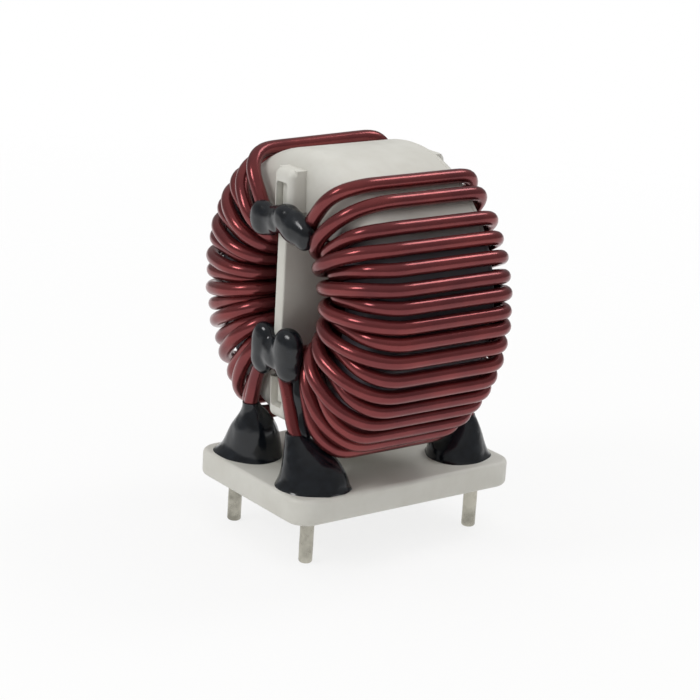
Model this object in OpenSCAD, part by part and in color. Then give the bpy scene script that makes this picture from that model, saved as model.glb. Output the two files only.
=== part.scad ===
// Vertical toroidal common-mode choke on a four-pin base.
// X runs across the ring, Y along the ring's axis towards the back, Z up.
// The base's underside is at Z = 0 and the pins reach below it.

/* [Wire] */
// Diameter of the enamelled wire
wire_d = 1.7; // [1.6:0.02:1.7]
// Rim passes of each winding
turns = 17; // [13:1:17]
// Half of the rim angle that a winding covers
rim_half = 61.5; // [61:0.5:64]
// Rim angle of the middle turn
rim_mid = -2.9; // [-4:0.1:-2]
// Share of the spacing that widens towards the first and last turns
rim_ease = 0.1; // [0.06:0.01:0.11]
// Shift of both end turns towards the bottom, in degrees
rim_lean = 2.1; // [1:0.1:2.5]
// Angle in the hole of the pass after the top turn
hole_top = 60; // [58:0.5:61]
// Angle between neighbouring passes in the hole
hole_step = 7.8; // [7.7:0.05:7.9]
// Lean of the left winding's rim passes towards the top at the back, in degrees
left_skew = 4; // [0:0.5:4]
// Lean of the right winding's rim passes
right_skew = 0; // [0:0.5:4]
// Shift of the left winding's first turn towards the top, in degrees
left_stray = 3; // [0:0.5:4]
// Slack between the rim passes and the case
slack = 0.6; // [0.55:0.05:0.7]
// Drop of the rim passes below the ring's centre
sag = 0.5; // [0.3:0.05:0.5]

/* [Ring] */
// Outer diameter of the case
case_d = 33.4; // [33:0.1:34]
// Diameter of the hole through the case
case_hole = 18.4; // [18.2:0.1:18.8]
// Length of the case along the ring's axis
case_len = 16.5; // [16:0.1:17.2]
// Rounding of the front outer edge
front_round = 2.6; // [2.5:0.1:3]
// Wall of the case
case_wall = 1.2; // [0.9:0.05:1.3]
// Thickness of the lid
lid_t = 0.9; // [0.8:0.1:1.5]
// Width of the slotted front rib and of the back rib below the hole
rib_w = 3.6; // [3.4:0.1:4]
// Height of the front rib over the face
rib_h = 2.1; // [1.8:0.1:2.1]
// Width of the back rib above the hole
rib_back_w = 6.8; // [5:0.1:7]
// Height of the back rib over the lid
rib_back_h = 2; // [1:0.1:2]
// Distance of the front rib's end from the case's rim
rib_in = 2; // [1.7:0.1:2.3]
// Distance of the back rib's upper end from the case's rim
rib_back_in = 0.9; // [0.8:0.1:1.7]
// Width of the slot in the rib
slot_w = 1.9; // [1.7:0.1:2.2]
// Plastic between the slot's end and the rib's end
slot_in = 1.5; // [1.1:0.1:2]
// Thickness of the divider
divider_t = 1.5; // [1:0.1:1.6]
// Height of the ring's centre over the seating plane
ring_z = 24.45; // [24.2:0.05:25]
// Place of the case's front face along Y
front_y = -10.6; // [-11:0.1:-10.5]

/* [Base] */
// Base size across the ring
base_w = 22; // [21:0.5:23]
// Base size along the ring's axis
base_l = 32; // [31:0.5:34]
// Base thickness
base_t = 3.2; // [2.8:0.1:3.4]
// Corner radius of the base
base_r = 2.5; // [1:0.1:3]
// Distance of the pins from the base's long sides
pin_side = 3.5; // [3.3:0.1:3.7]
// Distance of the pins from the base's ends
pin_end = 3.75; // [3.5:0.05:4]
// Pin length below the base
pin_len = 5.8; // [3:0.1:8]
// Pin diameter
pin_d = 1.7; // [1.5:0.02:1.8]

/* [Epoxy] */
// Radius of an epoxy cone near its foot
cone_r = 4.15; // [4:0.05:4.5]
// Height of the front cones over the seating plane
cone_top = 10; // [9.4:0.1:10.4]
// Height of the back cones over the seating plane
cone_back_top = 8.4; // [8:0.1:9]
// Bulge of a glue lobe as a share of its radius
lobe_bulge = 0.65; // [0.5:0.05:0.8]

/* [Hidden] */
$fn = 64;

// Fits
lay = 0.05;
core_play = 0.2;
pin_play = 0.1;
divider_play = 0.08;
eps = 0.01;
past = 1;

// Ring
case_r = case_d / 2;
hole_r = case_hole / 2;
back_y = front_y + case_len;
hole_round = 1.15;
back_round = 0.8;
rib_round = 1.2;
rib_reach = case_r - rib_in;
rib_back_reach = case_r - rib_back_in;
slot_reach = rib_reach - slot_in;
rib_y = front_y - rib_h;
rib_back_y = back_y + rib_back_h;
core_r = case_r - case_wall - core_play;
inner_wall = 0.9;
core_hole_r = hole_r + inner_wall + core_play;
core_y0 = front_y + case_wall + core_play;
core_y1 = back_y - lid_t - core_play;
core_edge = 0.6;

// Wire route: radii, levels on the faces and bend radii of the wire's centre line
wire_r = wire_d / 2;
sides = 8;
first_normal = [0.3, 1, 0.1];
mitre_min = 0.85;
rim_r = case_r + slack + wire_r;
under_r = hole_r - wire_r - lay;
over_r = under_r * cos(hole_step) - sqrt(pow(wire_d + lay / 2, 2) - pow(under_r * sin(hole_step), 2));
face_front = front_y - wire_r - lay;
face_back = back_y + wire_r + lay;
rim_lift = 0.4;
rim_back_lift = 0.9;
hole_lift = 1.75;
over_ease = 0.6;
lead_lift = 1.5;
bend_front = 3.4;
bend_back = 1.65;
bend_tight = 1.4;
bend_under = hole_round + wire_r + lay;
bend_over = bend_under + over_ease;

// Pins: their spacing, and the stem that stands in the base, behind the shoulder of the free end
pin_dx = base_w - 2 * pin_side;
pin_dy = base_l - 2 * pin_end;
shoulder = 0.2;
stem_r = pin_d / 2 - shoulder;

// Leads: where they pass in front of the face, enter the cones and meet the pins
lead_y = face_front - lead_lift;
lead_bend = 1.7;
leave_turn = 6;
knee_x = 3.1;
knee_drop = 10.25;
neck_x = 2.9;
lead_knee = [knee_x, lead_y, ring_z - knee_drop];
lead_neck = [pin_dx / 2 - neck_x, lead_y + lay, cone_top];
lead_back_y = face_back + hole_lift + wire_d + 3 * lay;
neck_back_x = 1;
neck_back_y = 0.85;
lead_back_neck = [pin_dx / 2 - neck_back_x, pin_dy / 2 - neck_back_y, cone_back_top];
pin_rise = 1;
pin_top = base_t + pin_rise;
elbow_rise = 0.8;
elbow_z = pin_top + elbow_rise;
tip_round = 0.35;
bore_r = wire_r + lay;

// Cones: profile as shares of the foot radius and the height, and the foot's place inwards of its pin
cone_shape = [[0, -0.4], [1.14, -0.4], [1.06, 0], [0.94, 0.14], [0.86, 0.32], [0.73, 0.52], [0.54, 0.7],
    [0.39, 0.85], [0.31, 0.94], [0.28, 1], [0, 1]];
cone_in = [1.3, 1];
cone_back_in = [1.75, 1.4];
cone_edge = 0.25;
cone_hem = 1.5;
bore_reach = 1.4;

// Glue lobes from the front: X, height over the ring's centre and radius as shares of the hole's radius
glue_back = rib_y - lay;
glue_top_at = [[-0.467, 0.962, 0.217], [-0.185, 0.951, 0.228], [0.207, 0.973, 0.261], [0.359, 0.864, 0.272]];
glue_bottom_at = [[-0.261, -0.571, 0.217], [-0.326, -0.777, 0.261], [0, -0.668, 0.207],
    [0.239, -0.582, 0.25], [0.348, -0.799, 0.261], [0.337, -0.973, 0.196]];

// Colours
plastic_colour = [0.86, 0.86, 0.83];
wire_colour = [0.46, 0.17, 0.16];
epoxy_colour = [0.09, 0.1, 0.11];
tin_colour = [0.66, 0.64, 0.59];
ferrite_colour = [0.2, 0.2, 0.21];

// A place on the ring from radius, angle and Y
function on_ring(r, a, y) = [r * cos(a), y, ring_z + r * sin(a)];

// Rim angle of turn i, counted from the top, eased so that the end turns stand wider apart
function turn_u(i) = 1 - 2 * (i - 1) / (turns - 1);
function rim_angle(i, stray) = let (u = turn_u(i))
    rim_mid - rim_lean * u * u + rim_half * ((1 - rim_ease) * u + rim_ease * u * u * u)
    + stray * pow(max(u, 0), 8);
function on_rim(r, a, y) = on_ring(r, a, y) - [0, 0, sag];

// Passes in the hole: even ones lie on the case, odd ones lie over them
function hole_angle(j) = hole_top - hole_step * j;
function is_over(j) = j % 2 == 1;
function pass_r(j) = is_over(j) ? over_r : under_r;
function pass_bend(j) = is_over(j) ? bend_over : bend_under;
function over(j, lift) = is_over(j) ? lift : 0;

// The four bends of a turn, each a quarter circle in the plane of radius and Y
function out_of_hole(j, n) = let (r = pass_r(j), b = bend_tight, y = face_back + over(j, hole_lift))
    [for (k = [0 : n]) let (t = 90 * k / n)
        on_ring(r + b - b * cos(t), hole_angle(j), y - b + b * sin(t))];
function onto_rim(j, a, n) = let (b = bend_back, lift = over(j, rim_back_lift))
    [for (k = [0 : n]) let (t = 90 * k / n)
        on_rim(rim_r - b + b * sin(t), a, face_back - b + (b + lift) * cos(t))];
function off_rim(j, a, n) = let (b = bend_front, lift = over(j, rim_lift))
    [for (k = [0 : n]) let (t = 90 * k / n)
        on_rim(rim_r - b + b * cos(t), a, face_front + b - (b + lift) * sin(t))];
function into_hole(j, n) = let (r = pass_r(j), b = pass_bend(j), y = face_front - over(j, hole_lift))
    [for (k = [0 : n]) let (t = 90 * k / n)
        on_ring(r + b - b * sin(t), hole_angle(j), y + b - b * cos(t))];
function front_run(i, a) = concat(off_rim(i - 1, a, 5), into_hole(i - 1, 4));
function turn_path(i, skew, stray) = let (a = rim_angle(i, stray)) concat(
    out_of_hole(i, 2), onto_rim(i, a + skew, 2), front_run(i, a));

// Front lead: pin, cone neck, knee, then a quarter bend into the lowest pass
function entry() = on_ring(pass_r(turns), hole_angle(turns), 0);
function front_lead() = concat(
    [[pin_dx / 2, -pin_dy / 2, pin_top + eps], [pin_dx / 2, -pin_dy / 2, elbow_z], lead_neck, lead_knee],
    [for (k = [0 : 4]) let (t = 90 * k / 4)
        entry() + lead_bend * [0, 1 - cos(t), sin(t) - 1] + [0, lead_y, 0]]);

// Back lead: out of the top pass, a quarter bend down, over the turns to the back pin
function leave() = on_ring(pass_r(0), hole_angle(0) + leave_turn, 0);
function back_lead() = concat(
    [for (k = [0 : 3]) let (t = 90 * k / 3)
        leave() + lead_bend * [0, sin(t) - 1, cos(t) - 1] + [0, lead_back_y, 0]],
    [lead_back_neck, [pin_dx / 2, pin_dy / 2, elbow_z], [pin_dx / 2, pin_dy / 2, pin_top + eps]]);

function wire_path(skew, stray) = concat(
    front_lead(), [for (i = [turns : -1 : 1]) each turn_path(i, skew, stray)], back_lead());

// Tube swept along a list of points; each ring's frame follows on from the one before
function unit(v) = v / norm(v);
function tangent(p, i) =
    i == 0 ? unit(p[1] - p[0]) :
    i == len(p) - 1 ? unit(p[i] - p[i - 1]) :
    unit(unit(p[i + 1] - p[i]) + unit(p[i] - p[i - 1]));
function carried(n, t) = unit(n - (n * t) * t);
function frames(p) = [for (i = 0, n = carried(first_normal, tangent(p, 0)); i < len(p);
    i = i + 1, n = i < len(p) ? carried(n, tangent(p, i)) : n) n];
function tube_ring(p, n, i, r) = let (t = tangent(p, i), b = cross(t, n[i]),
    s = i == 0 || i == len(p) - 1 ? 1 : 1 / max(mitre_min, tangent(p, i) * unit(p[i] - p[i - 1])))
    [for (k = [0 : sides - 1]) let (a = 360 * k / sides) p[i] + r * s * (cos(a) * n[i] + sin(a) * b)];

module tube(p, r) {
    n = frames(p);
    last = len(p) - 1;
    walls = [for (i = [0 : last - 1], k = [0 : sides - 1])
        let (a = i * sides + k, b = i * sides + (k + 1) % sides)
        each [[a, a + sides, b], [b, a + sides, b + sides]]];
    caps = concat([[for (k = [0 : sides - 1]) k]], [[for (k = [sides - 1 : -1 : 0]) last * sides + k]]);
    polyhedron(points = [for (i = [0 : last]) each tube_ring(p, n, i, r)], faces = concat(walls, caps));
}

// Stands its children on point a, upright towards point b
module along(a, b) {
    d = b - a;
    translate(a) rotate([0, acos(d[2] / norm(d)), atan2(d[1], d[0])]) children();
}

// What is left of a square corner when it is rounded
module corner(r, x, y) {
    mirror([x < 0 ? 1 : 0, 0]) mirror([0, y < 0 ? 1 : 0]) difference() {
        translate([-r, -r]) square(r + eps);
        translate([-r, -r]) circle(r);
    }
}

// Half section of the ring, radius by Y, with its front face at y0
module ring_section(y0) {
    difference() {
        translate([hole_r, y0]) square([case_r - hole_r, back_y - y0]);
        translate([case_r, y0]) corner(front_round, 1, -1);
        translate([hole_r, y0]) corner(hole_round, -1, -1);
        translate([case_r, back_y]) corner(back_round, 1, 1);
        translate([hole_r, back_y]) corner(back_round, -1, 1);
    }
}

// Turns a radius by Y section about the ring's axis
module about_axis() {
    translate([0, 0, ring_z]) rotate([-90, 0, 0]) rotate_extrude() children();
}

// Block centred on X, between two Y places, reaching the same way above and below the ring's centre
module bar(w, y0, y1, reach) {
    translate([-w / 2, y0, ring_z - reach]) cube([w, y1 - y0, 2 * reach]);
}

// One end of a rib, from its root y0 to its outer plane y1, above (s = 1) or below (s = -1) the hole
module rib(w, y0, y1, reach, s) {
    difference() {
        translate([0, 0, ring_z]) rotate([90, 0, 90]) linear_extrude(w, center = true) difference() {
            translate([min(y0, y1), min(0, s * reach)]) square([abs(y1 - y0), reach]);
            translate([y1, s * reach]) corner(rib_round, sign(y1 - y0), s);
        }
        translate([0, min(y0, y1) - past, ring_z]) rotate([-90, 0, 0])
            cylinder(h = abs(y1 - y0) + 2 * past, r = hole_r + hole_round);
    }
}

// Slot with round ends through the rib
module rib_slot(y0, y1) {
    bar(slot_w, y0, y1, slot_reach - slot_w / 2);
    for (s = [-1, 1])
        translate([0, y0, ring_z + s * (slot_reach - slot_w / 2)]) rotate([-90, 0, 0])
            cylinder(h = y1 - y0, d = slot_w);
}

module case_cup() {
    color(plastic_colour) difference() {
        union() {
            about_axis() difference() {
                ring_section(front_y);
                translate([core_hole_r - core_play, front_y + case_wall])
                    square([core_r - core_hole_r + 2 * core_play, case_len]);
                translate([0, back_y - lid_t]) square([case_r + past, lid_t + past]);
            }
            for (s = [-1, 1])
                rib(rib_w, front_y + case_wall / 2, rib_y, rib_reach, s);
        }
        rib_slot(rib_y - past, front_y);
    }
}

module case_lid() {
    color(plastic_colour) difference() {
        union() {
            about_axis() intersection() {
                ring_section(front_y);
                translate([0, back_y - lid_t]) square([case_r + past, lid_t + past]);
            }
            rib(rib_back_w, back_y - lid_t / 2, rib_back_y, rib_back_reach, 1);
            rib(rib_w, back_y - lid_t / 2, rib_back_y, rib_reach, -1);
        }
        rib_slot(back_y, rib_back_y + past);
    }
}

module ferrite_core() {
    color(ferrite_colour) about_axis() difference() {
        translate([core_hole_r, core_y0]) square([core_r - core_hole_r, core_y1 - core_y0]);
        translate([core_r, core_y0]) corner(core_edge, 1, -1);
        translate([core_hole_r, core_y0]) corner(core_edge, -1, -1);
        translate([core_r, core_y1]) corner(core_edge, 1, 1);
        translate([core_hole_r, core_y1]) corner(core_edge, -1, 1);
    }
}

module divider() {
    color(plastic_colour) {
        bar(divider_t, rib_y, rib_back_y, hole_r - divider_play);
        bar(divider_t, rib_y, front_y - divider_play, slot_reach - slot_w);
    }
}

module right_winding() {
    color(wire_colour) tube(wire_path(right_skew, 0), wire_r);
}

module left_winding() {
    color(wire_colour) mirror([1, 0, 0]) tube(wire_path(left_skew, left_stray), wire_r);
}

// Outline of the base, drawn in by a margin
module base_plan(margin) {
    w = base_w - 2 * margin;
    l = base_l - 2 * margin;
    r = base_r - margin;
    square([w - 2 * r, l], center = true);
    square([w, l - 2 * r], center = true);
    for (x = [-1, 1], y = [-1, 1])
        translate([x * (w / 2 - r), y * (l / 2 - r)]) circle(r);
}

module base() {
    color(plastic_colour) difference() {
        linear_extrude(base_t) base_plan(0);
        for (x = [-1, 1], y = [-1, 1])
            translate([x * pin_dx / 2, y * pin_dy / 2, -past])
                cylinder(h = base_t + 2 * past, d = pin_d + 2 * pin_play);
    }
}

// Tinned free end with a softened tip, on a thinner stem through the base
module pin(x, y) {
    color(tin_colour) translate([x * pin_dx / 2, y * pin_dy / 2, 0]) rotate_extrude() difference() {
        translate([0, -pin_len]) {
            square([pin_d / 2, pin_len - lay]);
            square([stem_r, pin_len + pin_top]);
        }
        translate([pin_d / 2, -pin_len]) corner(tip_round, 1, -1);
    }
}

module pin_front_right() {
    pin(1, -1);
}

module pin_front_left() {
    pin(-1, -1);
}

module pin_back_right() {
    pin(1, 1);
}

module pin_back_left() {
    pin(-1, 1);
}

// Epoxy cone that leans along its lead, flat on the base, bored for the lead and the pin
module epoxy(neck, in, y) {
    foot = [pin_dx / 2 - in[0], y * (pin_dy / 2 - in[1]), base_t];
    elbow = [pin_dx / 2, y * pin_dy / 2, elbow_z];
    h = norm(neck - foot);
    color(epoxy_colour) difference() {
        intersection() {
            along(foot, neck) rotate_extrude() polygon([for (q = cone_shape) [q[0] * cone_r, q[1] * h]]);
            union() {
                translate([0, 0, base_t]) linear_extrude(cone_hem) base_plan(cone_edge);
                translate([-base_w, -base_l, base_t + cone_hem]) cube([2 * base_w, 2 * base_l, 2 * h]);
            }
        }
        translate([elbow[0], elbow[1], 0]) cylinder(h = elbow_z, r = bore_r);
        translate(elbow) sphere(bore_r + lay);
        along(elbow, neck) cylinder(h = bore_reach * norm(neck - elbow), r = bore_r);
    }
}

// Room for one turn's run over the front, on both windings
module front_rooms(i) {
    for (s = [0, 1])
        mirror([s, 0, 0]) tube(front_run(i, rim_angle(i, s * left_stray)), bore_r + lay);
}

module epoxy_front_right() {
    color(epoxy_colour) difference() {
        epoxy(lead_neck, cone_in, -1);
        tube(front_run(turns, rim_angle(turns, 0)), bore_r + lay);
    }
}

module epoxy_front_left() {
    mirror([1, 0, 0]) epoxy_front_right();
}

module epoxy_back_right() {
    epoxy(lead_back_neck, cone_back_in, 1);
}

module epoxy_back_left() {
    mirror([1, 0, 0]) epoxy_back_right();
}

// Domed lobe of epoxy on the front, flat at the back
module lobe(at) {
    r = at[2] * hole_r;
    h = lobe_bulge * r;
    rise = (r * r + h * h) / (2 * h);
    translate([at[0] * hole_r, glue_back, ring_z + at[1] * hole_r]) rotate([90, 0, 0]) intersection() {
        translate([0, 0, h - rise]) sphere(rise);
        cylinder(h = 2 * h, r = 2 * r);
    }
}

module glue_top() {
    color(epoxy_colour) difference() {
        for (at = glue_top_at)
            lobe(at);
        front_rooms(2);
    }
}

module glue_bottom() {
    color(epoxy_colour) difference() {
        for (at = glue_bottom_at)
            lobe(at);
        front_rooms(turns - 1);
        for (s = [0, 1])
            mirror([s, 0, 0]) tube(front_lead(), bore_r + lay);
    }
}

base();
case_cup();
case_lid();
ferrite_core();
divider();
right_winding();
left_winding();
pin_front_right();
pin_front_left();
pin_back_right();
pin_back_left();
epoxy_front_right();
epoxy_front_left();
epoxy_back_right();
epoxy_back_left();
glue_top();
glue_bottom();
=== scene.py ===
import bpy
import numpy as np
from mathutils import Matrix, Vector


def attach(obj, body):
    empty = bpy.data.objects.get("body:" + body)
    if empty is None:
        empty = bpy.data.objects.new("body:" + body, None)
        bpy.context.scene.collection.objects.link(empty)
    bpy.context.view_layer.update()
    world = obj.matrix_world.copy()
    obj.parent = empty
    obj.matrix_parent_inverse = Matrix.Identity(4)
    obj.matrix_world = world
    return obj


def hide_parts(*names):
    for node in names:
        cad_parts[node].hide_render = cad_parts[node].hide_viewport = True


# Toroidal choke standing on its base.
# Sizes are millimetres in the part's own frame, and putMesh makes them metres.
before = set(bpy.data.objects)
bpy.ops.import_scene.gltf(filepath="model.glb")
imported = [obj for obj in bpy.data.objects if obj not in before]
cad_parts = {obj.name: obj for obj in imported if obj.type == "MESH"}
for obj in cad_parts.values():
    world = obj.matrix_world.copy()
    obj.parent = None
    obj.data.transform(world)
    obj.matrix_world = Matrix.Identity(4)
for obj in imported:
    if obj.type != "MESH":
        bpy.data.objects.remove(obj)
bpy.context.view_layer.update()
mm = 0.001
print("frame loaded")

# places that several pieces share
ring = {"centre": 24.45, "rim": 16.7, "hole": 9.2, "front": -10.6, "back": 5.9}
pinPlaces = {"front_right": (7.5, -12.25), "front_left": (-7.5, -12.25),
             "back_right": (7.5, 12.25), "back_left": (-7.5, 12.25)}
baseTop = 3.2


def gridFaces(rings, start, loop):
    # quads between neighbouring rings, with a fan to the middle of each end ring unless they close in a loop
    n, m = rings.shape[:2]
    index = start + np.arange(n * m).reshape(n, m)
    nextUp = np.roll(index, -1, axis=0) if loop else index[1:]
    here = index if loop else index[:-1]
    corners = [here, nextUp, np.roll(nextUp, -1, axis=1), np.roll(here, -1, axis=1)]
    quads = np.stack(corners, axis=-1).reshape(-1, 4)
    points = rings.reshape(-1, 3)
    fans = np.zeros((0, 3), int)
    if not loop:
        points = np.concatenate([points, rings[:1].mean(1), rings[-1:].mean(1)])
        first, last = index[0], index[-1]
        low, high = start + n * m, start + n * m + 1
        fans = np.concatenate([
            np.stack([np.full(m, low), first, np.roll(first, -1)], axis=-1),
            np.stack([np.full(m, high), np.roll(last, -1), last], axis=-1)])
    # signed volume as a sum of corner products; the faces turn round where it is negative
    p = points[quads - start]
    across = np.cross(p[:, 1] - p[:, 0], p[:, 2] - p[:, 0]) + np.cross(p[:, 2] - p[:, 0], p[:, 3] - p[:, 0])
    volume = np.einsum("ij,ij->i", p[:, 0] - points.mean(0), across).sum()
    if volume < 0:
        quads, fans = quads[:, ::-1], fans[:, ::-1]
    return points, quads, fans


def putMesh(name, sheets, finish, node, sharp=38, loops=()):
    # one object from several grids, smooth apart from edges sharper than the given angle
    points, faces, start = [], [], 0
    for k, rings in enumerate(sheets):
        p, quads, fans = gridFaces(rings, start, k in loops)
        points.append(p)
        faces += quads.tolist() + fans.tolist()
        start += len(p)
    mesh = bpy.data.meshes.new(name)
    mesh.from_pydata((np.concatenate(points) * mm).tolist(), [], faces)
    mesh.shade_smooth()
    mesh.set_sharp_from_angle(angle=np.radians(sharp))
    mesh.materials.append(finish)
    piece = bpy.data.objects.new(name, mesh)
    bpy.context.scene.collection.objects.link(piece)
    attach(piece, "root")
    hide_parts(node)
    return piece


def bend(x, y, radius, start, end, count=10):
    # points on a circle about x, y from one angle to another, in degrees
    a = np.radians(np.linspace(start, end, count))
    return np.stack([x + radius * np.cos(a), y + radius * np.sin(a)], axis=1)


def aboutAxis(outline, count=160):
    # an outline of radius and place along the ring's axis, turned right round that axis
    a = np.linspace(0, 2 * np.pi, count, endpoint=False)[:, None]
    r, y = outline[:, 0][None, :], outline[:, 1][None, :]
    return np.stack([r * np.cos(a), y + 0 * a, ring["centre"] + r * np.sin(a)], axis=-1)


def fourCorners(count):
    # angles of four quarter circles in turn, with the side of the middle that each lies on
    quarter = np.linspace(0, np.pi / 2, count)
    a = (quarter[None, :] + np.arange(4)[:, None] * np.pi / 2).reshape(1, -1)
    signX = np.repeat([1, -1, -1, 1], count)[None, :]
    signY = np.repeat([1, 1, -1, -1], count)[None, :]
    return a, signX, signY


def softBlock(low, high, edge, count=5):
    # a small ball pushed out to the block's corners:
    # each point is the inner corner plus the edge radius along its direction
    quarter = np.linspace(0, np.pi / 2, count)
    up = np.concatenate([quarter - np.pi / 2, quarter])[1:-1][:, None]
    upSign = np.concatenate([-np.ones(count), np.ones(count)])[1:-1][:, None]
    a, signX, signY = fourCorners(count)
    middle, half = (np.array(low) + high) / 2, (np.array(high) - low) / 2 - edge
    x = middle[0] + signX * half[0] + edge * np.cos(up) * np.cos(a)
    y = middle[1] + signY * half[1] + edge * np.cos(up) * np.sin(a)
    z = middle[2] + upSign * half[2] + edge * np.sin(up) + 0 * a
    return np.stack([x, y, z], axis=-1)


def newFinish(name):
    # a new node material, with its nodes, links, shader and object coordinates
    material = bpy.data.materials.new(name)
    material.use_nodes = True
    nodes, links = material.node_tree.nodes, material.node_tree.links
    place = nodes.new("ShaderNodeTexCoord").outputs["Object"]
    return material, nodes, links, nodes["Principled BSDF"], place


def grain(nodes, links, place, scale, detail, rough=0.55):
    # a cloudy noise over the coordinates
    noise = nodes.new("ShaderNodeTexNoise")
    noise.inputs["Scale"].default_value = scale
    noise.inputs["Detail"].default_value = detail
    noise.inputs["Roughness"].default_value = rough
    links.new(place, noise.inputs["Vector"])
    return noise.outputs["Fac"]


def shades(nodes, links, fac, stops):
    # a colour ramp over a 0 to 1 value
    ramp = nodes.new("ShaderNodeValToRGB")
    while len(ramp.color_ramp.elements) < len(stops):
        ramp.color_ramp.elements.new(0.5)
    for stop, (at, colour) in zip(ramp.color_ramp.elements, stops):
        stop.position = at
        stop.color = (*colour, 1)
    links.new(fac, ramp.inputs["Fac"])
    return ramp.outputs["Color"]


def spread(nodes, links, fac, low, high, middle=(0.3, 0.7)):
    # stretches the middle of a noise to a range of values
    scale = nodes.new("ShaderNodeMapRange")
    scale.inputs["From Min"].default_value = middle[0]
    scale.inputs["From Max"].default_value = middle[1]
    scale.inputs["To Min"].default_value = low
    scale.inputs["To Max"].default_value = high
    links.new(fac, scale.inputs["Value"])
    return scale.outputs["Result"]


def rising(nodes, links, value, low, high):
    # nil at the first place and full at the second, in millimetres, with a soft step between
    step = nodes.new("ShaderNodeMapRange")
    step.interpolation_type = "SMOOTHSTEP"
    step.inputs["From Min"].default_value = low * mm
    step.inputs["From Max"].default_value = high * mm
    links.new(value, step.inputs["Value"])
    return step.outputs["Result"]


def sums(nodes, links, kind, *values):
    # one step of arithmetic on one or two values
    part = nodes.new("ShaderNodeMath")
    part.operation = kind
    for value, socket in zip(values, part.inputs):
        links.new(value, socket)
    return part.outputs[0]


def relief(nodes, links, shader, heights):
    # several noises stacked as bumps, each with its own depth in millimetres
    normal = None
    for fac, depth, strength in heights:
        bump = nodes.new("ShaderNodeBump")
        bump.inputs["Distance"].default_value = depth * mm
        bump.inputs["Strength"].default_value = strength
        links.new(fac, bump.inputs["Height"])
        if normal:
            links.new(normal, bump.inputs["Normal"])
        normal = bump.outputs["Normal"]
    links.new(normal, shader.inputs["Normal"])


# in the finishes a ramp's colour comes after its place on the ramp, a grain is a noise's scale and detail,
# a bump is its depth in millimetres and its strength, and the painted shade between the turns is a plain
# colour
def enamelFinish():
    look = {"deep": (0.3, (0.15, 0.030, 0.034)), "red": (0.68, (0.24, 0.047, 0.047)),
            "metal": 0.7, "gloss": (0.17, 0.26), "coat": 0.12, "coatRough": 0.12,
            "toneGrain": (160, 4), "fineGrain": (1900, 2), "glossGrain": (700, 3),
            "toneBump": (0.06, 0.25), "fineBump": (0.03, 0.45)}
    material, nodes, links, shader, place = newFinish("enamelled_wire")
    tone = grain(nodes, links, place, *look["toneGrain"])
    fine = grain(nodes, links, place, *look["fineGrain"])
    patches = grain(nodes, links, place, *look["glossGrain"])
    colour = shades(nodes, links, tone, [look["deep"], look["red"]])
    links.new(colour, shader.inputs["Base Color"])
    links.new(spread(nodes, links, patches, *look["gloss"]), shader.inputs["Roughness"])
    shader.inputs["Metallic"].default_value = look["metal"]
    shader.inputs["Coat Weight"].default_value = look["coat"]
    shader.inputs["Coat Roughness"].default_value = look["coatRough"]
    relief(nodes, links, shader, [(tone, *look["toneBump"]), (fine, *look["fineBump"])])
    return material


def plasticFinish(name, shadedBetweenTurns=False):
    look = {"dull": (0.28, (0.64, 0.625, 0.565)), "white": (0.62, (0.71, 0.70, 0.645)), "gloss": (0.36, 0.50),
            "mottleGrain": (230, 5), "fineGrain": (2600, 2),
            "mottleBump": (0.05, 0.18), "fineBump": (0.015, 0.2),
            "paintedShade": (0.16, 0.145, 0.17), "paintedShadeSide": (6.5, 9.0), "paintedShadeTop": (35.4, 32.6)}
    material, nodes, links, shader, place = newFinish(name)
    mottle = grain(nodes, links, place, *look["mottleGrain"])
    fine = grain(nodes, links, place, *look["fineGrain"])
    colour = shades(nodes, links, mottle, [look["dull"], look["white"]])
    if shadedBetweenTurns:
        # painted shade: the case colour is darkened under the turns, where the gaps between them lie in
        # shade, to both sides and not under the first few
        apart = nodes.new("ShaderNodeSeparateXYZ")
        links.new(place, apart.inputs[0])
        aside = rising(nodes, links, sums(nodes, links, "ABSOLUTE", apart.outputs["X"]), *look["paintedShadeSide"])
        below = rising(nodes, links, apart.outputs["Z"], *look["paintedShadeTop"])
        blend = nodes.new("ShaderNodeMixRGB")
        links.new(sums(nodes, links, "MULTIPLY", aside, below), blend.inputs["Fac"])
        links.new(colour, blend.inputs["Color1"])
        blend.inputs["Color2"].default_value = (*look["paintedShade"], 1)
        colour = blend.outputs["Color"]
    links.new(colour, shader.inputs["Base Color"])
    links.new(spread(nodes, links, mottle, *look["gloss"]), shader.inputs["Roughness"])
    relief(nodes, links, shader, [(mottle, *look["mottleBump"]), (fine, *look["fineBump"])])
    return material


def epoxyFinish():
    look = {"black": (0.35, (0.004, 0.005, 0.007)), "bloom": (0.75, (0.010, 0.013, 0.018)),
            "gloss": (0.09, 0.26), "flowGrain": (330, 2), "filmGrain": (900, 4),
            "flowBump": (0.35, 0.45), "filmBump": (0.03, 0.2)}
    material, nodes, links, shader, place = newFinish("black_epoxy")
    flow = grain(nodes, links, place, *look["flowGrain"])
    film = grain(nodes, links, place, *look["filmGrain"])
    colour = shades(nodes, links, film, [look["black"], look["bloom"]])
    links.new(colour, shader.inputs["Base Color"])
    links.new(spread(nodes, links, film, *look["gloss"]), shader.inputs["Roughness"])
    relief(nodes, links, shader, [(flow, *look["flowBump"]), (film, *look["filmBump"])])
    return material


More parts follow.
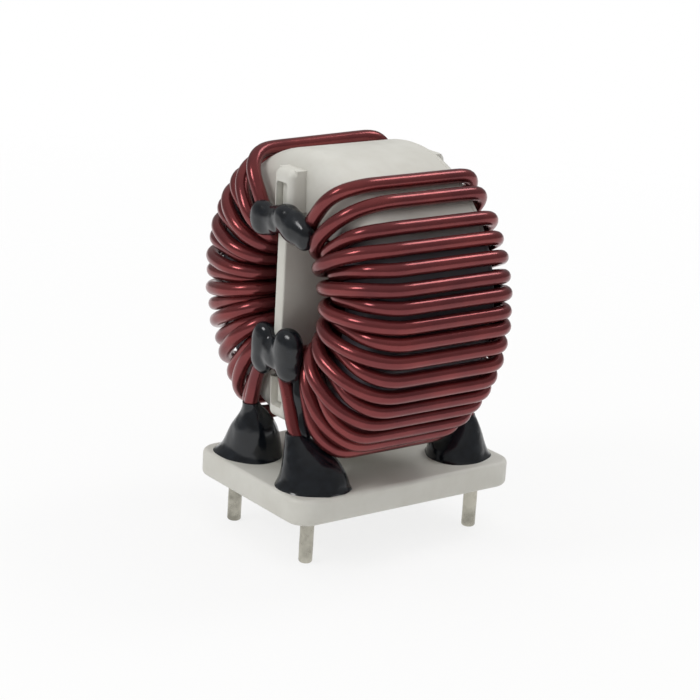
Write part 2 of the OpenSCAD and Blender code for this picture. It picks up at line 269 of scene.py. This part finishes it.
def tinFinish():
    look = {"dull": (0.32, (0.27, 0.26, 0.22)), "tin": (0.6, (0.52, 0.50, 0.43)), "gloss": (0.22, 0.38),
            "cloudGrain": (420, 4), "fineGrain": (2400, 2),
            "cloudBump": (0.12, 0.3), "fineBump": (0.015, 0.2)}
    material, nodes, links, shader, place = newFinish("tinned_pin")
    cloud = grain(nodes, links, place, *look["cloudGrain"])
    fine = grain(nodes, links, place, *look["fineGrain"])
    colour = shades(nodes, links, cloud, [look["dull"], look["tin"]])
    links.new(colour, shader.inputs["Base Color"])
    links.new(spread(nodes, links, cloud, *look["gloss"]), shader.inputs["Roughness"])
    shader.inputs["Metallic"].default_value = 1
    relief(nodes, links, shader, [(cloud, *look["cloudBump"]), (fine, *look["fineBump"])])
    return material


def ferriteFinish():
    look = {"dark": (0.35, (0.025, 0.025, 0.027)), "grey": (0.65, (0.045, 0.045, 0.048)),
            "gloss": (0.55, 0.75), "speckGrain": (1400, 3), "speckBump": (0.03, 0.3)}
    material, nodes, links, shader, place = newFinish("ferrite")
    speck = grain(nodes, links, place, *look["speckGrain"])
    colour = shades(nodes, links, speck, [look["dark"], look["grey"]])
    links.new(colour, shader.inputs["Base Color"])
    links.new(spread(nodes, links, speck, *look["gloss"]), shader.inputs["Roughness"])
    relief(nodes, links, shader, [(speck, *look["speckBump"])])
    return material


enamel, epoxy, tin, ferrite = enamelFinish(), epoxyFinish(), tinFinish(), ferriteFinish()
# the case plastic carries painted shade under the turns
plastic, casePlastic = plasticFinish("white_plastic"), plasticFinish("case_plastic", shadedBetweenTurns=True)
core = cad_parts["ferrite_core"]
core.data.materials.clear()
core.data.materials.append(ferrite)
print("finishes made")


# lengths of the quarter bends are given outwards and along the ring's axis
winding = {
    "wire": 1.7, "sides": 18, "step": 0.42, "fineStep": 0.1, "bendPoints": 12, "soften": 0.8, "turns": 17,
    "sag": 0.5, "lowSag": 0.5, "lowFrom": -40, "lowOver": 20,
    "holeTop": 60, "holeStep": 7.8, "underRadius": 8.3, "overRadius": 6.917, "rimRadius": 18.15,
    "frontLevel": -11.7, "rimLift": 1.4, "holeLift": 1.6, "stray": 0.6, "swing": (0.1, 0.9),
    "backLevel": 6.8, "backHoleLift": 1.75, "backRim": 0.4, "backRimLift": 0.1,
    "rimBend": (4.0, 3.8), "rimBendOver": (6.2, 5.4), "holeBend": (2.4, 2.4), "holeBendOver": (4.8, 3.4),
    "backBend": 2.0, "tightBend": 1.4, "leadBend": 1.7, "leadLevel": -13.0, "backLeadLevel": 10.4,
    "backLeadTurn": (8.8, 1.2), "leaveTurn": 6, "pinTop": 4.21, "elbow": 5.0, "backNeck": (6.5, 11.4, 8.4)}
# angle of each turn on the rim, from the top down; press says how far a turn stands off the face
rightTurns = {
    "skew": 0, "press": [1, 0.6] + [1] * 13 + [0.4, 1],
    "neck": (4.6, -12.95, 10.0), "knee": (3.1, -13.0, 14.2),
    "angles": [57.3, 49, 38.5, 30.8, 23.6, 16.4, 10, 3.2, -2.9,
               -9.8, -17.2, -24.6, -31.6, -39, -47.5, -55.5, -62]}
leftTurns = {
    "skew": 4, "press": [0.75] * 17,
    "neck": (4.2, -12.95, 10.0), "knee": (3.2, -13.0, 14.0),
    "angles": [59.5, 49.5, 41.1, 33.3, 26, 18.9, 11.6, 4.3, -2.9,
               -9.9, -17.1, -24.4, -31.9, -39.8, -48, -56.5, -64]}


def onRing(radius, angle, y, drop=0):
    # a place at a radius and an angle about the ring's axis, lowered by the drop
    radius, angle, y = np.broadcast_arrays(radius, np.radians(angle), y)
    return np.stack([radius * np.cos(angle), y, ring["centre"] + radius * np.sin(angle) - drop], axis=-1)


def evenly(line, step):
    # the same line with its stations an even step apart
    run = np.concatenate([[0], np.cumsum(np.linalg.norm(np.diff(line, axis=0), axis=1))])
    at = np.linspace(0, run[-1], int(run[-1] / step) + 1)
    return np.stack([np.interp(at, run, line[:, k]) for k in range(3)], axis=1)


def softened(line, reach, step):
    # each station becomes the bell-weighted mean of its neighbours, so that bends run into each other
    away = np.arange(-int(3 * reach / step), int(3 * reach / step) + 1) * step
    weight = np.exp(-0.5 * (away / reach) ** 2)
    weight = weight / weight.sum()
    padded = np.pad(line, ((len(away) // 2,) * 2, (0, 0)), mode="edge")
    return np.stack([np.convolve(padded[:, k], weight, mode="valid") for k in range(3)], axis=1)


def windingLine(w, course):
    # four quarter bends a turn, strung between two leads:
    # out of the hole, on to the rim, off the rim and into the hole
    turn = np.arange(w["turns"], 0, -1)[:, None]
    rim = np.array(course["angles"])[turn - 1]
    sag = w["sag"] + w["lowSag"] * np.clip((w["lowFrom"] - rim) / w["lowOver"], 0, 1)
    t = np.linspace(0, np.pi / 2, w["bendPoints"])[None, :]
    s, c = np.sin(t), np.cos(t)
    r, out = w["rimRadius"], turn % 2
    holeRadius = np.where(out, w["overRadius"], w["underRadius"])
    b, y = w["tightBend"], w["backLevel"] + out * w["backHoleLift"]
    leaving = onRing(holeRadius + b - b * c, w["holeTop"] - w["holeStep"] * turn, y - b + b * s)
    b, y = w["backBend"], w["backLevel"] + w["backRim"]
    onto = onRing(r - b + b * s, rim + course["skew"], y - b + (b + out * w["backRimLift"]) * c, sag)
    # over the front every other turn arches over its neighbours,
    # and the angle swings evenly from the rim's to the hole's
    over = (turn - 1) % 2 == 1
    lift = over * np.array(course["press"])[turn - 1]
    stray = w["stray"] * (turn == 1)
    wide, deep = (np.where(over, w["rimBendOver"][k], w["rimBend"][k]) for k in (0, 1))
    level = w["frontLevel"] - stray - lift * w["rimLift"]
    offRadius, offY = r - wide + wide * c, level + deep - deep * s
    wide, deep = (np.where(over, w["holeBendOver"][k], w["holeBend"][k]) for k in (0, 1))
    level = w["frontLevel"] - stray - lift * w["holeLift"]
    holeRadius = np.where(over, w["overRadius"], w["underRadius"])
    inRadius, inY = holeRadius + wide - wide * s, level + deep - deep * c
    frontRadius = np.concatenate([offRadius, inRadius], axis=1)
    frontY = np.concatenate([offY, inY], axis=1)
    run = np.cumsum(np.hypot(np.diff(frontRadius, axis=1), np.diff(frontY, axis=1)), axis=1)
    share = np.concatenate([0 * rim, run / run[:, -1:]], axis=1)
    share = np.clip((share - w["swing"][0]) / (w["swing"][1] - w["swing"][0]), 0, 1)
    hole = w["holeTop"] - w["holeStep"] * (turn - 1) + w["leaveTurn"] * (turn == 1)
    front = onRing(frontRadius, rim + (hole - rim) * share, frontY, sag * (1 - share))
    turns = np.concatenate([leaving, onto, front], axis=1).reshape(-1, 3)
    s, c, b = s[0][:, None], c[0][:, None], w["leadBend"]
    entry = onRing(w["overRadius"], w["holeTop"] - w["holeStep"] * w["turns"], w["leadLevel"])
    x, y = pinPlaces["front_right"]
    frontLead = np.concatenate([[[x, y, w["pinTop"]], [x, y, w["elbow"]], course["neck"], course["knee"]],
                                entry + b * np.concatenate([0 * s, 1 - c, s - 1], axis=1)])
    leave = onRing(w["underRadius"], w["holeTop"] + w["leaveTurn"], w["backLeadLevel"])
    x, y = pinPlaces["back_right"]
    backLead = np.concatenate([leave + b * np.concatenate([0 * s, s - 1, c - 1], axis=1),
                               [w["backNeck"], [x, y, w["elbow"]], [x, y, w["pinTop"]]]])
    line = evenly(np.concatenate([frontLead, turns, backLead]), w["fineStep"])
    return evenly(softened(line, w["soften"], w["fineStep"]), w["step"])


def tubeAlong(line, radius, sides):
    # a circle carried along the line,
    # its start turned to the way round the ring, or across it on the back lead
    angle = np.arctan2(line[:, 2] - ring["centre"], line[:, 0])
    start, length = winding["backLeadTurn"]
    lead = np.clip((line[:, 1] - start) / length, 0, 1)[:, None]
    roundRing = np.stack([-np.sin(angle), 0 * angle, np.cos(angle)], axis=1)
    guide = (1 - lead) * roundRing + lead * np.array([-1.0, 0, 0])
    along = np.gradient(line, axis=0)
    along /= np.linalg.norm(along, axis=1)[:, None]
    side = guide - (guide * along).sum(1)[:, None] * along
    side /= np.linalg.norm(side, axis=1)[:, None]
    other = np.cross(along, side)
    a = np.linspace(0, 2 * np.pi, sides, endpoint=False)[None, :, None]
    return line[:, None] + radius * (np.cos(a) * side[:, None] + np.sin(a) * other[:, None])


# the left winding is worked out on the right and mirrored
for name, node, hand, course in (("right_wire", "right_winding", 1, rightTurns),
                                 ("left_wire", "left_winding", -1, leftTurns)):
    rings = tubeAlong(windingLine(winding, course), winding["wire"] / 2, winding["sides"])
    putMesh(name, [rings * (hand, 1, 1)], enamel, node)
print("windings wound")


case = {"wall": 1.2, "innerWall": 0.9, "lid": 0.9, "frontRound": 2.6, "holeRound": 1.15, "backRound": 0.8,
        "seam": 0.14, "ribWidth": 3.6, "ribTop": -12.7, "ribReach": 14.7, "ribInset": 0.7, "ribEdge": 0.85,
        "ribRoot": 0.4, "ribLean": 0.045, "backRibWidth": 6.8, "backRibTop": 7.9, "backRibReach": 15.8,
        "slot": 2.1, "slotReach": 13.2, "slotRound": 0.5, "slotWall": 0.06, "slotFloor": 0.02,
        "ribRows": 34, "ribEndRows": 9, "ribPoints": 81}
divider = {"thick": 1.6, "edge": 0.2, "reach": 9.12, "shift": 0.05, "lean": 0.012,
           "tongue": 2.0, "tongueReach": (9.0, 13.0), "tongueTop": -11.9, "tongueGap": 0.08}


def cupOutline(c):
    # half section of the cup: round front corners, a small lip at the seam, and the room for the core
    r, h, front, seam = ring["rim"], ring["hole"], ring["front"], ring["back"] - c["lid"]
    f, g, e = c["frontRound"], c["holeRound"], c["seam"]
    inner, outer, floor = h + c["innerWall"], r - c["wall"], front + c["wall"]
    return np.concatenate([
        bend(r - f, front + f, f, -90, 0, 14), bend(r - e, seam - e, e, 0, 90, 5),
        [[outer, seam], [outer, floor], [inner, floor], [inner, seam]],
        bend(h + e, seam - e, e, 90, 180, 5), bend(h + g, front + g, g, 180, 270, 10)])


def lidOutline(c):
    # half section of the lid: round outer corners and a small lip at the seam
    r, h, seam, back, e = ring["rim"], ring["hole"], ring["back"] - c["lid"], ring["back"], c["seam"]
    b = min(c["backRound"], c["lid"] - e)
    return np.concatenate([
        bend(r - e, seam + e, e, -90, 0, 5), bend(r - b, back - b, b, 0, 90, 8),
        bend(h + b, back - b, b, 90, 180, 8), bend(h + e, seam + e, e, 180, 270, 5)])


def ribSheet(root, top, width, reach, side, c, lean=0):
    # height over the face is full inside the outline, falls by a quarter circle near its edge,
    # and is next to nil in the slot
    r, h, inner = c["ribEdge"], abs(top - root), ring["hole"] + c["ribInset"]
    q = np.concatenate([np.linspace(inner, reach - r, c["ribRows"])[:-1],
                        reach - r * (1 - np.sin(np.linspace(0, np.pi / 2, c["ribEndRows"])))])[:, None]
    x = np.linspace(-width / 2, width / 2, c["ribPoints"])[None, :]
    dx, dq = width / 2 - abs(x) + 0 * q, reach - q + 0 * x
    corner = r - np.hypot(r - dx, r - dq)
    d = np.clip(np.where((dx < r) & (dq < r), corner, np.minimum(dx, dq)), 0, r)
    height = h - r + np.sqrt(r * r - (r - d) ** 2)
    past = c["slotRound"]
    slotSide = np.clip(abs(x) - c["slot"] / 2 + past, 0, None)
    slotEnd = np.clip(q - c["slotReach"] + past, 0, None)
    slotEdge = np.hypot(slotSide, slotEnd) - past
    height = height * np.clip(slotEdge / c["slotWall"] + 0.5, c["slotFloor"], 1)
    foot = np.full((len(q), 1), -c["ribRoot"])
    y = root + np.sign(top - root) * np.concatenate([foot, height, foot], axis=1)
    x = np.concatenate([[[-width / 2]], x, [[width / 2]]], axis=1) - lean * side * q
    return np.stack([x, y, ring["centre"] + side * q + 0 * x], axis=-1)


def leaned(plate, shift, lean):
    # sideways place plus the shift and the lean times the drop below the ring's centre
    x, y, z = plate[..., 0], plate[..., 1], plate[..., 2]
    return np.stack([x + shift + lean * (ring["centre"] - z), y, z], axis=-1)


cup, lid = aboutAxis(cupOutline(case)), aboutAxis(lidOutline(case))
narrow = (case["ribWidth"], case["ribReach"])
broad = (case["backRibWidth"], case["backRibReach"])
ribs = [ribSheet(ring["front"], case["ribTop"], *narrow, side, case, case["ribLean"]) for side in (1, -1)]
putMesh("ring_cup", [cup] + ribs, casePlastic, "case_cup", loops=(0,))
ribs = [ribSheet(ring["back"], case["backRibTop"], *broad, 1, case),
        ribSheet(ring["back"], case["backRibTop"], *narrow, -1, case)]
putMesh("ring_lid", [lid] + ribs, casePlastic, "case_lid", loops=(0,))

# the plate leans a little to one side, and its tongues follow the slots
half, reach, z, e = divider["thick"] / 2, divider["reach"], ring["centre"], divider["edge"]
plate = softBlock((-half, case["ribTop"], z - reach), (half, case["backRibTop"], z + reach), e)
plates = [leaned(plate, divider["shift"], divider["lean"])]
half, back = divider["tongue"] / 2, ring["front"] - divider["tongueGap"]
near, far = divider["tongueReach"]
for low, high in ((z + near, z + far), (z - far, z - near)):
    tongue = softBlock((-half, divider["tongueTop"], low), (half, back, high), e)
    plates.append(leaned(tongue, 0, case["ribLean"]))
putMesh("hole_divider", plates, plastic, "divider")
print("case and divider made")


base = {"width": 22, "length": 32, "corner": 2.5, "edge": 0.55, "lip": 0.2,
        "edgePoints": 8, "cornerPoints": 9}
pin = {"radius": 0.85, "tip": 0.3, "tipFlat": 0.25, "tipGap": 0.2, "low": -5.8, "high": 4.2,
       "wave": 0.02, "turn": 1.7, "tipRows": 8, "rows": 24, "sides": 32}


def baseSheet(b):
    # the rounded-corner outline drawn in by an inset
    # that follows a quarter circle at the lower and upper edges
    e, lip, r = b["edge"], b["edge"] + b["lip"], b["corner"]
    rise = np.concatenate([[[lip, 0]], bend(e, e, e, -90, -180, b["edgePoints"]),
                           bend(e, baseTop - e, e, 180, 90, b["edgePoints"]), [[lip, baseTop]]])
    inset, z = rise[:, 0][:, None], rise[:, 1][:, None]
    a, signX, signY = fourCorners(b["cornerPoints"])
    x = signX * (b["width"] / 2 - r) + (r - inset) * np.cos(a)
    y = signY * (b["length"] / 2 - r) + (r - inset) * np.sin(a)
    return np.stack([x, y, z + 0 * a], axis=-1)


def pinSheet(p, place, turn):
    # a rod with a rounded tip whose radius swells and thins a little where the tin has run
    tip = bend(p["radius"] - p["tip"], p["low"] + p["tip"], p["tip"], -90, 0, p["tipRows"])
    up = np.linspace(p["low"] + p["tip"] + p["tipGap"], p["high"], p["rows"])
    wall = np.stack([np.full(len(up), p["radius"]), up], axis=1)
    outline = np.concatenate([[[p["tipFlat"], p["low"]]], tip, wall])
    r, z = outline[:, 0][:, None], outline[:, 1][:, None]
    a = np.linspace(0, 2 * np.pi, p["sides"], endpoint=False)[None, :]
    r = r * (1 - p["wave"] * (1 + np.sin(2 * a + 1.3 * z + turn) * np.sin(0.9 * z + 2 * turn)))
    return np.stack([place[0] + r * np.cos(a), place[1] + r * np.sin(a), z + 0 * a], axis=-1)


putMesh("base_plate", [baseSheet(base)], plastic, "base")
for k, (corner, place) in enumerate(pinPlaces.items()):
    rod = pinSheet(pin, place, pin["turn"] * k)
    putMesh("tinned_pin_" + corner, [rod], tin, "pin_" + corner)
print("base and pins made")


# radius and sway are given at these shares of the height, and the sway's direction is the same for all
cone = {"rise": [0, 0.14, 0.32, 0.52, 0.7, 0.85, 0.94, 1], "soften": 0.05, "sway": (0.613, 0.79),
        "flare": 0.16, "flareRise": 0.035, "footRise": 0.12, "wave": 0.025, "inset": 0.25,
        "footRows": 13, "rows": 60, "sides": 96, "fineStep": 0.005}
frontCone = {"radius": [4.25, 4.0, 3.65, 3.15, 2.45, 1.75, 1.4, 1.05],
             "off": [0.4, 0.75, 1.0, 1.05, 0.75, 0.35, 0.15, 0]}
sideCone = {"radius": [4.15, 3.65, 3.3, 2.87, 2.2, 1.5, 1.15, 0.98],
            "off": [0, 0.4, 0.5, 0.55, 0.6, 0.45, 0.2, 0]}
backCone = {"radius": [3.95, 3.75, 3.4, 2.7, 2.0, 1.45, 1.2, 1.0],
            "off": [0.2, -0.1, -0.3, -0.1, 0.1, 0.15, 0.05, 0]}
cones = {
    "front_right": {**frontCone, "at": (6.2, -11.45), "neck": (4.95, -12.87, 9.3), "turn": 0.4},
    "front_left": {**sideCone, "at": (-6.2, -11.45), "neck": (-4.25, -12.95, 10.3), "turn": 2.1},
    "back_right": {**backCone, "at": (5.75, 10.85), "neck": (6.5, 11.4, 8.5), "turn": 4.0},
    "back_left": {**backCone, "at": (-5.75, 10.85), "neck": (-6.5, 11.4, 8.5), "turn": 5.2}}
# a dark strand in the epoxy finish behind the front right lead, from the cone to the glue
leadStrand = {"low": (5.5, -12.0, 8.4), "high": (3.8, -12.15, 15.6), "radius": 0.8, "wave": 0.12, "waves": 11,
         "rows": 60, "sides": 24}
# centre and radii of each lump of glue, and how the lumps are joined
glue = {
    "glue_top": [(-3.5, -13.0, 32.9, 2.1, 1.35, 2.1), (-1.9, -12.9, 32.9, 1.5, 1.15, 1.9),
                 (-0.7, -12.95, 33.3, 1.7, 1.2, 1.75), (1.3, -13.05, 33.8, 2.0, 1.4, 1.9),
                 (3.1, -13.1, 33.2, 2.4, 1.5, 2.2), (4.8, -13.0, 32.6, 1.5, 1.25, 1.7)],
    "glue_bottom": [(-1.9, -13.1, 18.2, 2.0, 1.3, 2.7), (-2.0, -13.1, 16.2, 1.8, 1.25, 1.8),
                    (0.5, -13.15, 17.6, 2.6, 1.25, 1.9), (3.1, -13.2, 18.6, 2.3, 1.4, 3.0),
                    (3.3, -13.2, 16.6, 1.8, 1.3, 1.9)]}
lump = {"swell": 0.05, "turn": 1.9, "rows": 26, "sides": 48, "voxel": 0.15, "ease": 0.5, "passes": 80}


def coneSheet(c, one):
    # radius and sideways sway follow the height in soft steps from foot to neck,
    # with a flared foot and slow waves round it
    h = np.concatenate([np.linspace(0, c["footRise"], c["footRows"])[:-1],
                        np.linspace(c["footRise"], 1, c["rows"])])
    fine = np.linspace(0, 1, round(1 / c["fineStep"]) + 1)
    radius, off = (np.interp(fine, c["rise"], one[kind]) for kind in ("radius", "off"))
    course = softened(np.stack([radius, off, fine], axis=1), c["soften"], c["fineStep"])
    r, off = (np.interp(h, fine, course[:, k])[:, None] for k in (0, 1))
    h, turn = h[:, None], one["turn"]
    a = np.linspace(0, 2 * np.pi, c["sides"], endpoint=False)[None, :]
    r = r + c["flare"] * np.exp(-h / c["flareRise"]) * (1 + 0.6 * np.sin(3 * a + turn))
    waves = np.sin(2 * a + turn) + 0.7 * np.sin(3 * a - 2 * turn + 3 * h) + 0.35 * np.sin(7 * a + 5 * turn)
    r = r * (1 + c["wave"] * waves)
    neck = np.array(one["neck"])
    x = one["at"][0] + (neck[0] - one["at"][0]) * h + c["sway"][0] * off + r * np.cos(a)
    y = one["at"][1] + (neck[1] - one["at"][1]) * h + c["sway"][1] * off + r * np.sin(a)
    limitX, limitY = base["width"] / 2 - c["inset"], base["length"] / 2 - c["inset"]
    z = baseTop + (neck[2] - baseTop) * h + 0 * a
    return np.stack([np.clip(x, -limitX, limitX), np.clip(y, -limitY, limitY), z], axis=-1)


def leadStrandSheet(c):
    # a straight strand from low to high whose radius swells in slow waves
    t = np.linspace(0, 1, c["rows"])[:, None]
    line = (1 - t) * np.array(c["low"]) + t * np.array(c["high"])
    radius = c["radius"] * (1 + c["wave"] * np.sin(c["waves"] * t))
    return tubeAlong(line, radius[:, :, None], c["sides"])


def lumpSheet(x, y, z, rx, ry, rz, turn):
    # an egg with its own radius each way and slow swells over it
    up = np.linspace(0, np.pi, lump["rows"])[1:-1][:, None]
    a = np.linspace(0, 2 * np.pi, lump["sides"], endpoint=False)[None, :]
    s = lump["swell"]
    swell = 1 + s * np.sin(2 * a + turn) * np.sin(up) + s * np.sin(3 * up + 2 * turn)
    return np.stack([x + rx * swell * np.sin(up) * np.cos(a), y + ry * swell * np.sin(up) * np.sin(a),
                     z + rz * swell * np.cos(up)], axis=-1)


for corner, one in cones.items():
    sheets = [coneSheet(cone, one)] + ([leadStrandSheet(leadStrand)] if corner == "front_right" else [])
    putMesh("epoxy_cone_" + corner, sheets, epoxy, "epoxy_" + corner)
for node, eggs in glue.items():
    sheets = [lumpSheet(*egg, lump["turn"] * k) for k, egg in enumerate(eggs)]
    piece = putMesh(node + "_bead", sheets, epoxy, node)
    joined = piece.modifiers.new("joined", "REMESH")
    joined.mode, joined.voxel_size, joined.use_smooth_shade = "VOXEL", lump["voxel"] * mm, True
    eased = piece.modifiers.new("eased", "SMOOTH")
    eased.factor, eased.iterations = lump["ease"], lump["passes"]
    done = bpy.data.meshes.new_from_object(piece.evaluated_get(bpy.context.evaluated_depsgraph_get()))
    piece.modifiers.clear()
    piece.data = done
    if not done.materials:
        done.materials.append(epoxy)
print("epoxy poured")


view = {"turn": 52.2, "lift": 16.64, "roll": 3.77, "distance": 261.91, "aim": (0, 0, 18),
        "lens": 113.14, "sensor": 36, "shift": (-0.0197, -0.0205)}
# lamps are in metres and watts; the world's brightness is given from straight down, 0, to straight up, 1
studio = {"floor": -5.8, "floorReach": 240, "floorFade": (0.35, 0.95), "floorColour": (0.9, 0.9, 0.89),
          "lift": 0.8, "lampAim": (0, 0, 0.02),
          "lamps": {"top_softbox": {"place": (0.036, 0.30, 0.41), "size": 0.16, "power": 0.34},
                    "front_softbox": {"place": (-0.06, -0.42, 0.35), "size": 0.17, "power": 0.60}},
          "seen": [(0, 1), (0.44, 1), (0.51, 0.27), (0.70, 0.30), (0.85, 0.42), (1, 0.52)],
          "room": [(0, 0.45), (0.44, 0.43), (0.51, 0.30), (0.70, 0.36), (0.85, 0.84), (1, 1.30)]}


def aimMatrix(v):
    # columns are right, up and back: back points from the aim to the eye,
    # and the roll turns the others about it
    turn, lift, roll = np.radians([v["turn"], v["lift"], v["roll"]])
    back = np.array([np.sin(turn) * np.cos(lift), -np.cos(turn) * np.cos(lift), np.sin(lift)])
    level = np.array([np.cos(turn), np.sin(turn), 0])
    upright = np.cross(back, level)
    right = np.cos(roll) * level + np.sin(roll) * upright
    up = np.cos(roll) * upright - np.sin(roll) * level
    eye = (np.array(v["aim"]) + v["distance"] * back) * mm
    return Matrix([[right[k], up[k], back[k], eye[k]] for k in range(3)] + [[0, 0, 0, 1]])


lens = bpy.data.cameras.new("photo_view")
lens.lens, lens.sensor_width = view["lens"], view["sensor"]
lens.shift_x, lens.shift_y = view["shift"]
camera = bpy.data.objects.new("photo_view", lens)
bpy.context.scene.collection.objects.link(camera)
camera.matrix_world = aimMatrix(view)
bpy.context.scene.camera = camera
print("camera placed")


def seenDirectly(nodes, links):
    # one for what the camera sees, straight or in a shine, and nil for plain light
    path = nodes.new("ShaderNodeLightPath").outputs
    seen = path["Is Camera Ray"]
    for way in ("Is Glossy Ray", "Is Transmission Ray"):
        seen = sums(nodes, links, "MAXIMUM", seen, path[way])
    return seen


def floorFinish(s):
    # pale to light; the camera sees it partly lit by itself,
    # and it fades into the backdrop away from the object
    material, nodes, links, shader, place = newFinish("pale_floor")
    nodes.remove(shader)
    kinds = ("BsdfDiffuse", "Emission", "BsdfTransparent")
    pale, glow, clear = (nodes.new("ShaderNode" + kind) for kind in kinds)
    pale.inputs["Color"].default_value = (*s["floorColour"], 1)
    part = nodes.new("ShaderNodeMath")
    part.operation = "MULTIPLY"
    part.inputs[1].default_value = s["lift"]
    links.new(seenDirectly(nodes, links), part.inputs[0])
    seen, faded = nodes.new("ShaderNodeMixShader"), nodes.new("ShaderNodeMixShader")
    links.new(part.outputs[0], seen.inputs["Fac"])
    links.new(pale.outputs[0], seen.inputs[1])
    links.new(glow.outputs[0], seen.inputs[2])
    away = nodes.new("ShaderNodeVectorMath")
    away.operation = "LENGTH"
    links.new(place, away.inputs[0])
    fade = nodes.new("ShaderNodeMapRange")
    fade.inputs["From Min"].default_value = s["floorFade"][0] * s["floorReach"] * mm
    fade.inputs["From Max"].default_value = s["floorFade"][1] * s["floorReach"] * mm
    links.new(away.outputs["Value"], fade.inputs["Value"])
    links.new(fade.outputs["Result"], faded.inputs["Fac"])
    links.new(seen.outputs[0], faded.inputs[1])
    links.new(clear.outputs[0], faded.inputs[2])
    links.new(faded.outputs[0], nodes["Material Output"].inputs["Surface"])
    return material


reach, level = studio["floorReach"] * mm, studio["floor"] * mm
corners = [(-reach, -reach, level), (reach, -reach, level), (reach, reach, level), (-reach, reach, level)]
sheet = bpy.data.meshes.new("pale_floor")
sheet.from_pydata(corners, [], [(0, 1, 2, 3)])
sheet.materials.append(floorFinish(studio))
floor = bpy.data.objects.new("pale_floor", sheet)
bpy.context.scene.collection.objects.link(floor)

for name, one in studio["lamps"].items():
    softbox = bpy.data.lights.new(name, "AREA")
    softbox.shape, softbox.size, softbox.energy = "DISK", one["size"], one["power"]
    lamp = bpy.data.objects.new(name, softbox)
    bpy.context.scene.collection.objects.link(lamp)
    lamp.location = one["place"]
    lamp.rotation_euler = (Vector(studio["lampAim"]) - lamp.location).to_track_quat("-Z", "Y").to_euler()

# a white table below the horizon, a dim room at eye level and a pale ceiling
world = bpy.data.worlds.new("studio")
bpy.context.scene.world = world
world.use_nodes = True
nodes, links = world.node_tree.nodes, world.node_tree.links
height = nodes.new("ShaderNodeSeparateXYZ")
links.new(nodes.new("ShaderNodeTexCoord").outputs["Generated"], height.inputs[0])
level = nodes.new("ShaderNodeMapRange")
level.inputs["From Min"].default_value = -1
links.new(height.outputs["Z"], level.inputs["Value"])
either = nodes.new("ShaderNodeMixRGB")
links.new(seenDirectly(nodes, links), either.inputs["Fac"])
for kind, socket in (("room", "Color1"), ("seen", "Color2")):
    stops = [(at, (tone,) * 3) for at, tone in studio[kind]]
    links.new(shades(nodes, links, level.outputs["Result"], stops), either.inputs[socket])
links.new(either.outputs["Color"], nodes["Background"].inputs["Color"])
print("studio lit")

bpy.context.scene.view_settings.view_transform = "Standard"
print("scene ready")
